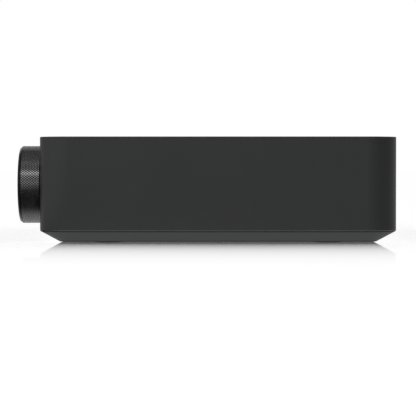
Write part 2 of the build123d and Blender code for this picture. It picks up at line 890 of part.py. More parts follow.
def post_core(x):
    """Metal post: solder tail, shank, flange and threaded stem with the banana bore and the wire hole."""
    shank_end = panel_face - block_sleeve_depth
    flange_back = panel_face + block_thickness
    core = turned((0, shank_end - core_tail_length), (core_tail, shank_end - core_tail_length),
                  (core_tail, shank_end), (core_shank, shank_end), (core_shank, flange_back),
                  (core_flange, flange_back), (core_flange, core_flange_face),
                  (core_thread, core_flange_face), (core_thread, core_tip), (0, core_tip))
    core = core - rod(banana_bore, core_tip - banana_depth, 0)
    wire = Rot(90, 0, 0) * Cylinder(wire_hole, 4 * core_thread)
    wire = Pos(0, 0, core_flange_face + wire_hole_offset) * wire
    return rear * Pos(x, face_centre, 0) * (core - wire)


def clamp_ring(x):
    """Loose washer under the cap, which presses on the wire."""
    outer = rod(ring_radius, ring_face, ring_face + ring_thickness)
    return rear * Pos(x, face_centre, 0) * (outer - rod(core_thread + core_clearance, core_flange_face, 0))


def post_cap(x):
    """Fluted screw cap of a binding post."""
    end = -post_cap_end_inset
    cap = rod(post_cap_radius, cap_seat, end)
    cap = chamfer(cap.edges().filter_by(GeomType.CIRCLE), post_cap_edge)
    for i in range(post_flutes):
        angle = tau * i / post_flutes
        reach = post_cap_radius + 0.45 * post_flute_radius
        cap = cap - rod(post_flute_radius, ring_face, end - 2 * post_cap_edge,
                        reach * cos(angle), reach * sin(angle))
    return rear * Pos(x, face_centre, 0) * (cap - rod(core_thread + core_clearance, ring_face, 0))


def rca_at():
    """Name and place of each RCA socket."""
    high = rca_low + rca_pitch
    return {"left": (rca_x, high), "right": (rca_x, rca_low), "sub": (rca_sub_x, high)}


def rca_block():
    """Moulded body behind the panel that carries the three sockets, standing on the main board."""
    top = rca_low + rca_pitch + rca_block_half
    bottom = board_top + board_seat
    low, high = panel_back - rca_block_depth, panel_back
    column = block(2 * rca_block_half, top - bottom, low, high, rca_x, (top + bottom) / 2)
    right = rca_sub_x + rca_block_half
    arm = block(right - rca_x, 2 * rca_block_half, low, high, (rca_x + right) / 2, rca_low + rca_pitch)
    body = column + arm
    for x, y in rca_at().values():
        body = body - rod(rca_neck, low + rca_block_floor, high + BEYOND, x, y)
    return rear * body


def rca_insert(x, y):
    """Coloured insulator: a flange on the panel, the core in the shell and a neck in the block."""
    flange = rod(rca_flange, panel_face, panel_face + rca_flange_thickness)
    flange = chamfer(flange.edges().sort_by(Axis.Z)[-1], rca_edge)
    neck_end = panel_face + rca_core_length - rca_bore_depth - rca_flange_thickness
    core = rod(rca_core, panel_face, panel_face + rca_core_length)
    neck = rod(rca_neck - core_clearance, neck_end, panel_face)
    bore = rod(rca_bore, panel_face + rca_core_length - rca_bore_depth, 0)
    return rear * Pos(x, y, 0) * (flange + core + neck - bore)


def rca_shells():
    """Metal outer contacts."""
    shells = []
    for x, y in rca_at().values():
        seat = panel_face + rca_flange_thickness
        shell = rod(rca_shell_outer, seat, seat + rca_shell_length)
        shell = chamfer(shell.edges().sort_by(Axis.Z)[-1], rca_edge)
        shells.append(rear * Pos(x, y, 0) * (shell - rod(rca_shell_inner, panel_face, 0)))
    return group(shells)


def hdmi_outline(shrink):
    """Outline of the plug, wide at the top and narrow below."""
    half, tall, cut = hdmi_width / 2 - shrink, hdmi_height / 2 - shrink, hdmi_taper
    foot = half - hdmi_taper_run
    return Polygon((-half, tall), (-half, tall - cut), (-foot, -tall), (foot, -tall), (half, tall - cut),
                   (half, tall), align=None)


def hdmi_socket():
    """Folded metal shell with a contact tongue."""
    mouth, back = panel_face + socket_proud, panel_face - hdmi_depth
    shell = Pos(0, 0, back) * extrude(hdmi_outline(0), mouth - back)
    hollow = Pos(0, 0, back + socket_floor) * extrude(hdmi_outline(hdmi_wall), mouth - back)
    tongue = block(hdmi_tongue_width, hdmi_tongue, back + socket_floor / 2, mouth - tongue_inset,
                   0, hdmi_tongue_rise)
    return rear * Pos(hdmi_x, on_board(hdmi_height), 0) * (shell - hollow + tongue)


def ethernet_socket():
    """Shielded socket with the keyway for the latch of the plug."""
    mouth, back = panel_face + socket_proud, panel_face - ethernet_depth
    body = block(ethernet_width, ethernet_height, back, mouth)
    low = mouth - ethernet_cavity
    plug_top = ethernet_height / 2 - ethernet_wall
    plug_bottom = plug_top - ethernet_cavity_height
    plug = block(ethernet_cavity_width, ethernet_cavity_height, low, mouth + BEYOND,
                 0, (plug_top + plug_bottom) / 2)
    key = block(ethernet_latch_width, 2 * ethernet_latch_height, low + ethernet_latch_stop, mouth + BEYOND,
                0, plug_bottom)
    return rear * Pos(ethernet_x, on_board(ethernet_height), 0) * (body - plug - key)


def usb_y():
    """Height of the USB socket, which stands on the Ethernet socket."""
    return board_top + board_seat + ethernet_height + board_seat + usb_height / 2


def usb_socket():
    """Metal shell with a contact tongue in its upper half."""
    mouth, back = panel_face + socket_proud, panel_face - usb_depth
    shell = block(usb_width, usb_height, back, mouth)
    hollow = block(usb_width - 2 * usb_wall, usb_height - 2 * usb_wall, back + socket_floor, mouth + BEYOND)
    tongue = block(usb_tongue_width, usb_tongue, back + socket_floor / 2, mouth - tongue_inset,
                   0, usb_tongue / 2)
    return rear * Pos(ethernet_x, usb_y(), 0) * (shell - hollow + tongue)


def shutter_axis():
    """Height and depth of the shutter's hinge, under the roof of the socket's mouth."""
    return (on_board(optical_side) + optical_opening / 2 - shutter_gap - shutter_pin,
            panel_face + optical_proud - shutter_inset - shutter_thickness / 2)


def optical_socket():
    """Square socket for an optical lead, with seats in its side walls for the shutter's pins."""
    mouth, back = panel_face + optical_proud, panel_face - optical_depth
    y = on_board(optical_side)
    body = block(optical_side, optical_side, back, mouth, 0, y)
    floor = mouth - optical_cavity
    cavity = block(optical_opening, optical_opening, floor, mouth + BEYOND, 0, y)
    height, depth = shutter_axis()
    reach = optical_opening + 2 * (shutter_pin_seat + shutter_pin_end_gap)
    seats = Pos(0, height, depth) * Rot(0, 90, 0) * Cylinder(shutter_pin + core_clearance, reach)
    emitter = rod(optical_emitter, floor - bond, floor + optical_emitter_length, 0, y)
    return rear * Pos(optical_x, 0, 0) * (body - cavity - seats + emitter)


def optical_shutter():
    """Spring flap that closes the optical socket, on a pin at its top edge."""
    height, depth = shutter_axis()
    flap_low = on_board(optical_side) - optical_opening / 2 + shutter_gap
    width = optical_opening - 2 * shutter_gap
    flap = block(width, height - flap_low, depth - shutter_thickness / 2, depth + shutter_thickness / 2,
                 0, (height + flap_low) / 2)
    hinge = Cylinder(shutter_pin, optical_opening + 2 * shutter_pin_seat) + Cylinder(shutter_barrel, width)
    return rear * Pos(optical_x, 0, 0) * (flap + Pos(0, height, depth) * Rot(0, 90, 0) * hinge)


def setup_button():
    """Small recessed key in the panel."""
    flange_front = panel_back - button_flange_gap
    flange_back = flange_front - button_flange_thickness
    top = panel_face + socket_proud
    profile = turned((0, flange_back), (setup_radius + button_flange, flange_back),
                     (setup_radius + button_flange, flange_front), (setup_radius, flange_front),
                     (setup_radius, top - setup_edge), (setup_radius - setup_edge, top), (0, top))
    return rear * Pos(setup_x, setup_y, 0) * profile


def mains_inlet():
    """Figure-8 inlet: flange on the panel, body behind, and a mouth of two joined rounds."""
    flange = slab(mains_flange_width, mains_flange_height, mains_flange_corner, panel_face,
                  panel_face + mains_flange)
    flange = chamfer(flange.faces().sort_by(Axis.Z)[-1].edges(), mains_flange_edge)
    back = panel_face - mains_body_depth
    body = slab(mains_body_width, mains_body_height, mains_body_corner, back, panel_face)
    mouth_floor = panel_face + mains_flange - mains_mouth_depth
    mouth = Pos(0, 0, mouth_floor) * extrude(SlotOverall(mains_mouth_width, mains_mouth_height),
                                             mains_mouth_depth + BEYOND)
    inlet = flange + body - mouth
    for side in (-1, 1):
        inlet = inlet - rod(mains_pin + core_clearance, back - BEYOND, mouth_floor + BEYOND,
                            side * mains_pin_pitch / 2)
    return rear * Pos(mains_x, face_centre, 0) * inlet


def mains_pins():
    """Two contact pins, round-ended."""
    floor = panel_face + mains_flange - mains_mouth_depth
    low = panel_face - mains_body_depth - mains_pin_tail
    pins = []
    for side in (-1, 1):
        pin = rod(mains_pin, low, floor + mains_pin_length, side * mains_pin_pitch / 2)
        pin = fillet(pin.edges().sort_by(Axis.Z)[-1], mains_pin_round)
        pins.append(rear * Pos(mains_x, face_centre, 0) * pin)
    return group(pins)


def pan_screws():
    """The alike screws of the rear panel, the front board and the two main boards."""
    screws = [rear * pan_screw(x, y, panel_face) for x, y in panel_screws_at + [seam_screw_at]]
    for x, y in front_bosses_at:
        screws.append(front * Pos(x, y, board_face - board_thickness) * Rot(180, 0, 0) * pan_screw(0, 0, 0))
    screws.extend(pan_screw(x, y, board_top) for x, y in main_standoffs_at + power_standoffs_at)
    return group(screws)


# Inside

def board(left, right, back, holes):
    """Circuit board by its edges, with screw holes."""
    plate = block(right - left, back - board_front, board_height, board_top,
                  (left + right) / 2, (back + board_front) / 2)
    return plate - [rod(pan_radius + screw_clearance, board_height - BEYOND, board_top + BEYOND, x, y)
                    for x, y in holes]


def reservoir_capacitors():
    """Upright cans with a crimp groove and a scored top."""
    r, g = capacitor_radius, capacitor_groove
    low, high = board_top + board_seat, board_top + capacitor_height
    ring = low + capacitor_groove_height
    can = turned((0, low), (r, low), (r, ring), (r - g, ring + g), (r, ring + 2 * g), (r, high - g),
                 (r - g, high), (0, high))
    score = [block(width, depth, high - g / 2, high + BEYOND)
             for width, depth in ((capacitor_score, g), (g, capacitor_score))]
    first = board_front + capacitor_from_front
    return group(Pos(power_x, y, 0) * (can - score) for y in (first, first + capacitor_pitch))


def transformer():
    """Ferrite core with two windows, and the winding on its middle leg."""
    low = board_top + board_seat
    high = low + transformer_height
    core = block(transformer_width, transformer_leg, low, high)
    window = (transformer_width - transformer_leg) / 2 - transformer_yoke
    core = core - [block(window, 2 * transformer_leg, low + transformer_yoke, high - transformer_yoke, x)
                   for x in spread(2, transformer_leg + window, 0)]
    gap = transformer_yoke + winding_gap
    coil = slab(transformer_width - 2 * gap, transformer_depth, winding_corner, low + gap, high - gap)
    hole = transformer_leg + 2 * winding_gap
    coil = coil - block(hole, hole, low, high)
    return Pos(power_x, board_front + transformer_from_front, 0) * group([core, coil])


def heat_sink():
    """Finned extrusion over the amplifier chips, on two pads."""
    base = board_top + board_seat + sink_pad_height
    sink = block(sink_width, sink_depth, base, base + sink_base)
    for x in spread(sink_fins, (sink_width - sink_fin) / (sink_fins - 1), 0):
        sink = sink + block(sink_fin, sink_depth, base + sink_base, base + sink_height, x)
    for x in spread(2, sink_width / 2, 0):
        sink = sink + block(sink_pad_width, sink_pad_width, base - sink_pad_height, base, x)
    return Pos(sink_x, sink_y, 0) * sink


def output_inductors():
    """Pot-cored coils of the output filter."""
    low = board_top + board_seat
    high = low + inductor_height
    coil = rod(inductor_radius, low, high)
    coil = chamfer(coil.edges().sort_by(Axis.Z)[-1], inductor_edge)
    coil = coil - rod(inductor_bore, low + inductor_floor, high + BEYOND)
    y = sink_y + sink_depth / 2 + inductor_sink_gap + inductor_radius
    return group(Pos(x, y, 0) * coil for x in spread(inductor_count, inductor_pitch, sink_x))


def network_module():
    """Plug-in radio board with a screening can, on two legs."""
    low = board_top + board_seat
    under = low + module_leg
    top = under + module_thickness
    module = block(module_width, module_depth, under, top)
    module = module + [block(module_leg_thickness, module_depth, low, under, x)
                       for x in spread(2, module_width - 2 * module_leg_thickness, 0)]
    module = module + block(module_can, module_can, top, top + module_can_height)
    return Pos(main_left + module_from_left, board_front + module_from_front, 0) * module


def flat_cable():
    """Flat lead from a plug on the front board down to a plug on the main board."""
    start = -case_depth / 2 - board_face + board_thickness
    end = start + cable_reach
    low = board_top + board_seat + cable_plug / 2
    plug = Box(cable_width + 2 * cable_plug_margin, cable_plug, cable_plug)
    high, near, far = cable_height, start + cable_plug, end - cable_plug / 2
    route = FilletPolyline((near, high), (near + cable_lead, high), (far - cable_lead, low), (far, low),
                           radius=cable_bend)
    strip = extrude(Plane.YZ * trace(route, cable_thickness), cable_width / 2, both=True)
    lead = group([Pos(0, start + cable_plug / 2, cable_height) * plug, Pos(0, end, low) * plug, strip])
    return Pos(main_left + cable_from_left, 0, 0) * lead


def nodes():
    """Every piece under its name."""
    made = {
        "wall_band": wall_band(), "roof_plate": roof_plate(), "recess_frame": recess_frame(),
        "base_tray": base_tray(), "feet": feet(), "case_screws": case_screws(),
        "front_fascia": front_fascia(), "display_window": display_window(),
        "display_module": display_module(),
        "knob_grip": knob_grip(), "knob_cap": knob_cap(), "knob_hub": knob_hub(),
        "encoder_shaft": encoder_shaft(), "encoder_housing": encoder_housing(), "encoder_nut": encoder_nut(),
        "encoder_plunger": encoder_plunger(), "power_button": push_button(power_radius, left_keys_x, upper_y),
        "front_board": front_board(), "tact_switches": tact_switches(),
        "headphone_socket": headphone_socket(), "rear_panel": rear_panel(), "mains_panel": mains_panel(),
        "terminal_block": terminal_block(),
        "post_cores": group(post_core(x) for x in posts_at),
        "rca_block": rca_block(), "rca_shells": rca_shells(), "hdmi_socket": hdmi_socket(),
        "ethernet_socket": ethernet_socket(), "usb_socket": usb_socket(), "optical_socket": optical_socket(),
        "optical_shutter": optical_shutter(), "setup_button": setup_button(), "mains_inlet": mains_inlet(),
        "mains_pins": mains_pins(), "pan_screws": pan_screws(),
        "main_board": board(main_left, board_right, main_back, main_standoffs_at),
        "power_board": board(power_left, power_right, power_back, power_standoffs_at),
        "reservoir_capacitors": reservoir_capacitors(), "transformer": transformer(),
        "heat_sink": heat_sink(), "output_inductors": output_inductors(),
        "network_module": network_module(), "flat_cable": flat_cable(),
    }
    for i, (x, y) in enumerate(presets_at):
        made[f"preset_button_{i + 1}"] = push_button(preset_radius, x, y)
    for name, (x, y) in rca_at().items():
        made[f"rca_insert_{name}"] = rca_insert(x, y)
    for name, x in zip(post_names, posts_at):
        made[f"clamp_ring_{name}"] = clamp_ring(x)
        made[f"post_cap_{name}"] = post_cap(x)
    return made


# The stored frame has its origin on the floor under the middle of the whole, knob included
knob_reach = knob_gap + grip_length + cap_bevel + cap_dome
to_stored_frame = Pos(0, knob_reach / 2, 0)
os.makedirs("parts", exist_ok=True)
for node_name, shape in nodes().items():
    export_step(to_stored_frame * shape, f"parts/{node_name}.step")
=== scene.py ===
import json
from math import cos, pi, sin, tau

import bmesh
import bpy
from mathutils import Matrix, Vector


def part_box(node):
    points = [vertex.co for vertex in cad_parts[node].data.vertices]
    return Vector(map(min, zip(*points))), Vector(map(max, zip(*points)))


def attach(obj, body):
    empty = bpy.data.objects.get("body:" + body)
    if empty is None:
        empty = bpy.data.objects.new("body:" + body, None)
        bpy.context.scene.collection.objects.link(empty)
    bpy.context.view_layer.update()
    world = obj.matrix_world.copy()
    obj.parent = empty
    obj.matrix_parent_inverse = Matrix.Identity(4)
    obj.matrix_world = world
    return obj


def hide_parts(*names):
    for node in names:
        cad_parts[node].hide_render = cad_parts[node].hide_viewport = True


# The frame is in metres. The front of the case faces -Y, and its right-hand side +X.

MM = 0.001
WHITE = (1, 1, 1, 1)
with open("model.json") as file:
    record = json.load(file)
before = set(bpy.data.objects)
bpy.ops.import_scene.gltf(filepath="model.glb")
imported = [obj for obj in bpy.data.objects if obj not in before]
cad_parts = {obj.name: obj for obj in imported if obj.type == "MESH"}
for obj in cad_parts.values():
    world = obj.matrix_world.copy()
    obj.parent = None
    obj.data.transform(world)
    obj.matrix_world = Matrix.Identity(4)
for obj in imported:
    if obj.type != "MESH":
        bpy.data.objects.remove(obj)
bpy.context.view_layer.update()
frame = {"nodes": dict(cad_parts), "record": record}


def add_object(name, data):
    made = bpy.data.objects.new(name, data)
    bpy.context.scene.collection.objects.link(made)
    return made


def grey(level):
    return (level, level, level, 1)


def aim(made, place, target):
    """Puts a camera or lamp at place, turned towards target."""
    made.location = place
    made.rotation_euler = (Vector(target) - Vector(place)).to_track_quat("-Z", "Y").to_euler()


# Camera, a little below the top of the case and looking at its right-hand side

camera_data = bpy.data.cameras.new("camera")
camera_data.lens = 166.3
camera_data.sensor_width = 36.0
camera = add_object("camera", camera_data)
aim(camera, place=(1.373, 0.0077, 0.048), target=(0.150, 0.0014, 0.02247))
bpy.context.scene.camera = camera
bpy.context.scene.view_settings.view_transform = "Standard"


# Materials

class Nodes:
    """Shorthand for making and joining shader nodes."""

    def __init__(self, tree):
        self.tree = tree
        tree.nodes.clear()

    def add(self, kind, inputs=None, **settings):
        """A new node. inputs gives its sockets, by name or number, a value or a link."""
        node = self.tree.nodes.new("ShaderNode" + kind)
        for name, value in settings.items():
            setattr(node, name, value)
        for name, value in (inputs or {}).items():
            self.set(node.inputs[name], value)
        return node

    def set(self, socket, value):
        if isinstance(value, bpy.types.NodeSocket):
            self.tree.links.new(value, socket)
        else:
            socket.default_value = value

    def math(self, operation, *values):
        return self.add("Math", dict(enumerate(values)), operation=operation).outputs[0]

    def product(self, value, *factors):
        for factor in factors:
            value = self.math("MULTIPLY", value, factor)
        return value

    def vector_math(self, operation, *values, output="Vector"):
        return self.add("VectorMath", dict(enumerate(values)), operation=operation).outputs[output]

    def scale(self, colour, factor):
        return self.add("VectorMath", {0: colour, 3: factor}, operation="SCALE").outputs[0]

    def span(self, value, low, high, to_low=0.0, to_high=1.0, smooth=False):
        """Maps value from low..high to to_low..to_high."""
        node = self.add("MapRange", {"Value": value, "From Min": low, "From Max": high,
                                     "To Min": to_low, "To Max": to_high})
        if smooth:
            node.interpolation_type = "SMOOTHSTEP"
        return node.outputs[0]

    def blend(self, factor, a, b):
        """Colour a where factor is 0, and b where it is 1."""
        return self.add("Mix", {0: factor, 6: a, 7: b}, data_type="RGBA").outputs[2]

    def mix(self, factor, a, b):
        """Shader a where factor is 0, and b where it is 1."""
        return self.add("MixShader", {0: factor, 1: a, 2: b}).outputs[0]

    def glow(self, colour):
        return self.add("Emission", {"Color": colour, "Strength": 1.0}).outputs[0]

    def ramp(self, value, stops):
        """Level along value, through stops of (value, level) with both from 0 to 1."""
        node = self.add("ValToRGB", {"Fac": value})
        elements = node.color_ramp.elements
        while len(elements) < len(stops):
            elements.new(1.0)
        for element, (at, level) in zip(elements, stops):
            element.position = at
            element.color = grey(level)
        return node.outputs["Color"]

    def noise(self, place, scale, detail):
        return self.add("TexNoise", {"Vector": place, "Scale": scale, "Detail": detail,
                                     "Roughness": 0.6}).outputs["Fac"]

    def end(self, shader, kind="OutputMaterial"):
        self.tree.links.new(shader, self.add(kind).inputs["Surface"])


def tinted(colour, factor):
    return tuple(c * factor for c in colour) + (1.0,)


def surface(name, colour, rough, tone, rough_change, grain, metallic=0.0, tone_scale=60.0,
            grain_scale=4000.0, stretch=(1, 1, 1), edge=0.0, coat=0.0, level=0.5, pattern=None):
    """A finish with cloudy tone, uneven gloss and a fine grain. tone and rough_change are how far colour
    and roughness go up and down, coat is the weight of a clear coat, and level the strength of plain
    reflections. Scales are per metre, the grain's depth and the rounding of edges in mm."""
    made = bpy.data.materials.new(name)
    made.use_nodes = True
    n = Nodes(made.node_tree)
    place = n.add("TexCoord").outputs["Object"]
    if stretch != (1, 1, 1):
        place = n.add("Mapping", {"Vector": place, "Scale": stretch}).outputs[0]
    cloud = n.noise(place, tone_scale, detail=4.0)
    fine = n.noise(place, grain_scale, detail=3.0)
    uneven = n.span(n.product(n.math("ADD", cloud, fine), 0.5), 0.3, 0.7)
    base = n.blend(uneven, tinted(colour, 1 - tone), tinted(colour, 1 + tone))
    gloss = n.span(uneven, 0.0, 1.0, rough - rough_change, rough + rough_change)
    height = fine
    if pattern:
        base, height = pattern(n, place, base, fine)
    bump = n.add("Bump", {"Height": height, "Distance": grain * MM, "Strength": 1.0})
    if edge:
        n.set(bump.inputs["Normal"], n.add("Bevel", {"Radius": edge * MM}, samples=6).outputs[0])
    shader = n.add("BsdfPrincipled", {"Base Color": base, "Roughness": gloss, "Metallic": metallic,
                                      "Coat Weight": coat, "Coat Roughness": 0.05,
                                      "Specular IOR Level": level, "Normal": bump.outputs[0]})
    n.end(shader.outputs[0])
    return made


# Patterns: each turns a finish's base colour and fine grain into its own base colour and bump height

def display_grid(n, place, base, fine):
    """Faint cells of the unlit display behind the lens."""
    pitch = 3.948 * MM
    # A wave texture of scale 1 has 20 / tau waves per metre
    inputs = {"Vector": place, "Scale": tau / (20 * pitch), "Distortion": 0.0}
    waves = [n.add("TexWave", inputs, bands_direction=axis).outputs["Fac"] for axis in ("X", "Z")]
    cells = n.span(n.product(*waves), 0.3, 0.7, 0.0, 0.5)
    return n.blend(cells, base, (0.02, 0.02, 0.024, 1)), fine


def board_tracks(n, place, base, fine):
    """Copper tracks under the solder mask."""
    cells = n.add("TexVoronoi", {"Vector": place, "Scale": 260.0}, feature="DISTANCE_TO_EDGE",
                  distance="CHEBYCHEV").outputs["Distance"]
    lines = n.span(cells, 0.05, 0.09, 1.0, 0.0)
    return n.blend(lines, base, (0.03, 0.2, 0.1, 1)), n.math("ADD", fine, lines)


def stipple(n, place, base, fine):
    """Rounded cells of a moulded rubber face."""
    cells = n.add("TexVoronoi", {"Vector": place, "Scale": 900.0}, feature="SMOOTH_F1").outputs["Distance"]
    return base, n.math("ADD", fine, n.math("MULTIPLY", cells, 2.0))


def dark_grooves(n, place, base, fine):
    """Makes the grooves of the ring near black and leaves its tops in the metal's colour."""
    low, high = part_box("knob_grip")
    middle, radius = (low + high) / 2, (high.x - low.x) / 2
    dark_from, bright_from = radius - 0.03 * MM, radius - 0.015 * MM
    offset = n.vector_math("ADD", place, (-middle.x, 0.0, -middle.z))
    offset = n.vector_math("MULTIPLY", offset, (1.0, 0.0, 1.0))
    top = n.span(n.vector_math("LENGTH", offset, output="Value"), dark_from, bright_from)
    return n.blend(top, (0.006, 0.006, 0.006, 1), base), fine


def band(n, place, base, low, high, factor):
    """Base colour times factor between two heights in mm, and as it was elsewhere."""
    fade = 0.1
    height = n.math("DIVIDE", n.add("SeparateXYZ", {"Vector": place}).outputs["Z"], MM)
    inside = n.product(n.span(height, low - fade, low), n.span(height, high + fade, high))
    return n.scale(base, n.span(inside, 0.0, 1.0, 1.0, factor))


def bright_foot(n, place, base, fine):
    """Painted highlight: the bevel along the foot of the walls is five times lighter in colour, for the
    light it catches.
    """
    return band(n, place, base, low=7.4, high=7.95, factor=5.0), fine


def dark_rims(n, place, base, fine):
    """Painted shade: the colour is darker along the upper rim of the tray, for the shade in the seam above
    it, and along its lower edge, for the shadow under the case.
    """
    base = band(n, place, base, low=6.7, high=7.6, factor=0.72)
    return band(n, place, base, low=0.3, high=1.1, factor=0.5), fine


# Finishes, by the name of their material slot

looks = {
    # The case's finish has a painted highlight along the foot bevel of its walls
    "case_coat": dict(colour=(0.0705, 0.0718, 0.0718), rough=0.42, metallic=1.0, tone=0.05, tone_scale=25.0,
                      rough_change=0.03, grain=0.006, grain_scale=5200.0, edge=0.35, pattern=bright_foot),
    # The tray's finish has painted shade along its upper rim and along its lower edge
    "tray_coat": dict(colour=(0.108, 0.11, 0.11), rough=0.5, metallic=1.0, tone=0.05, tone_scale=25.0,
                      rough_change=0.03, grain=0.008, grain_scale=4200.0, edge=0.3, pattern=dark_rims),
    "gloss_black": dict(colour=(0.004, 0.004, 0.0045), rough=0.09, tone=0.2, tone_scale=30.0,
                        rough_change=0.02, grain=0.0004, grain_scale=900.0, edge=0.15, level=0.2),
    "smoked_lens": dict(colour=(0.004, 0.004, 0.005), rough=0.06, tone=0.2, tone_scale=30.0,
                        rough_change=0.02, grain=0.0003, grain_scale=800.0, coat=1.0, pattern=display_grid),
    "knurled_metal": dict(colour=(0.34, 0.34, 0.345), rough=0.15, metallic=1.0, tone=0.1, tone_scale=90.0,
                          rough_change=0.05, grain=0.002, grain_scale=3000.0, pattern=dark_grooves),
    "moulded_black": dict(colour=(0.018, 0.018, 0.019), rough=0.5, tone=0.12, tone_scale=80.0,
                          rough_change=0.06, grain=0.012, grain_scale=5200.0, edge=0.2),
    "key_black": dict(colour=(0.02, 0.02, 0.022), rough=0.36, tone=0.1, tone_scale=120.0, rough_change=0.05,
                      grain=0.004, grain_scale=6000.0, edge=0.2),
    "rubber_black": dict(colour=(0.014, 0.014, 0.014), rough=0.72, tone=0.2, tone_scale=200.0,
                         rough_change=0.08, grain=0.05, grain_scale=3500.0, pattern=stipple),
    "panel_coat": dict(colour=(0.03, 0.03, 0.032), rough=0.5, metallic=0.2, tone=0.15, rough_change=0.07,
                       grain=0.022, grain_scale=3600.0, edge=0.15),
    "screw_steel": dict(colour=(0.08, 0.08, 0.085), rough=0.34, metallic=1.0, tone=0.2, tone_scale=500.0,
                        rough_change=0.1, grain=0.01, grain_scale=5000.0, edge=0.1),
    "plain_steel": dict(colour=(0.5, 0.5, 0.51), rough=0.28, metallic=1.0, tone=0.08, tone_scale=300.0,
                        rough_change=0.08, grain=0.006, grain_scale=5000.0, stretch=(1, 0.08, 1)),
    "gold_plate": dict(colour=(0.83, 0.6, 0.24), rough=0.22, metallic=1.0, tone=0.1, tone_scale=250.0,
                       rough_change=0.07, grain=0.005, stretch=(1, 0.15, 1), edge=0.08),
    "nickel_shell": dict(colour=(0.6, 0.59, 0.57), rough=0.3, metallic=1.0, tone=0.08, tone_scale=300.0,
                         rough_change=0.08, grain=0.006, grain_scale=5000.0, stretch=(1, 0.2, 1),
                         edge=0.08),
    "cap_red": dict(colour=(0.5, 0.012, 0.014), rough=0.2, tone=0.12, tone_scale=150.0, rough_change=0.05,
                    grain=0.004, grain_scale=2500.0, edge=0.15, coat=0.5),
    "cap_black": dict(colour=(0.012, 0.012, 0.013), rough=0.22, tone=0.15, tone_scale=150.0,
                      rough_change=0.05, grain=0.004, grain_scale=2500.0, edge=0.15, coat=0.5),
    "insert_white": dict(colour=(0.78, 0.77, 0.73), rough=0.4, tone=0.04, tone_scale=200.0,
                         rough_change=0.05, grain=0.006, edge=0.1),
    "insert_red": dict(colour=(0.55, 0.02, 0.02), rough=0.4, tone=0.08, tone_scale=200.0, rough_change=0.05,
                       grain=0.006, edge=0.1),
    "insert_violet": dict(colour=(0.2, 0.05, 0.34), rough=0.4, tone=0.08, tone_scale=200.0,
                          rough_change=0.05, grain=0.006, edge=0.1),
    "board_green": dict(colour=(0.006, 0.07, 0.03), rough=0.35, tone=0.15, tone_scale=80.0,
                        rough_change=0.06, grain=0.03, grain_scale=3000.0, pattern=board_tracks),
    "display_glass": dict(colour=(0.01, 0.01, 0.013), rough=0.1, tone=0.2, rough_change=0.03, grain=0.002,
                          grain_scale=900.0),
    "can_black": dict(colour=(0.02, 0.02, 0.026), rough=0.3, tone=0.15, tone_scale=120.0, rough_change=0.06,
                      grain=0.01, grain_scale=900.0, coat=0.4),
    "sink_black": dict(colour=(0.04, 0.04, 0.043), rough=0.4, metallic=0.8, tone=0.12, tone_scale=120.0,
                       rough_change=0.06, grain=0.01, grain_scale=2500.0, stretch=(1, 0.1, 1)),
    "ferrite": dict(colour=(0.03, 0.03, 0.033), rough=0.6, tone=0.2, tone_scale=200.0, rough_change=0.08,
                    grain=0.04, grain_scale=3000.0),
    "cable_grey": dict(colour=(0.5, 0.5, 0.5), rough=0.45, tone=0.08, tone_scale=200.0, rough_change=0.05,
                       grain=0.03, grain_scale=1600.0, stretch=(1, 0.05, 0.05)),
}
finishes = {name: surface(name, **look) for name, look in looks.items()}
for subpart in frame["record"]["subparts"]:
    mesh = frame["nodes"][subpart["node"]].data
    mesh.materials.clear()
    mesh.materials.append(finishes[subpart["material_slot"]])


# Making pieces

def piece(name, body, slot, points, faces, smooth=False):
    """A mesh piece in metres that rides on a body."""
    mesh = bpy.data.meshes.new(name)
    mesh.from_pydata([tuple(p) for p in points], [], faces)
    shape = bmesh.new()
    shape.from_mesh(mesh)
    bmesh.ops.recalc_face_normals(shape, faces=shape.faces)
    shape.to_mesh(mesh)
    shape.free()
    mesh.polygons.foreach_set("use_smooth", [smooth] * len(mesh.polygons))
    mesh.materials.append(finishes[slot])
    made = add_object(name, mesh)
    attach(made, body)
    return made


def middle_of(name):
    low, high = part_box(name)
    return (low + high) / 2


def add_tube(rings, points, faces):
    """Adds to points and faces a tube with shut ends that joins rings of points in turn."""
    first, count = len(points), len(rings[0])
    for ring in rings:
        points += ring
    for start in range(first, len(points) - count, count):
        for j in range(count):
            a, b = start + j, start + (j + 1) % count
            faces.append((a, b, b + count, a + count))
    faces.append(tuple(range(first, first + count)))
    faces.append(tuple(range(len(points) - count, len(points))))


# Knurled grip of the knob: two crossing sets of grooves round the ring leave diamonds with a low crown

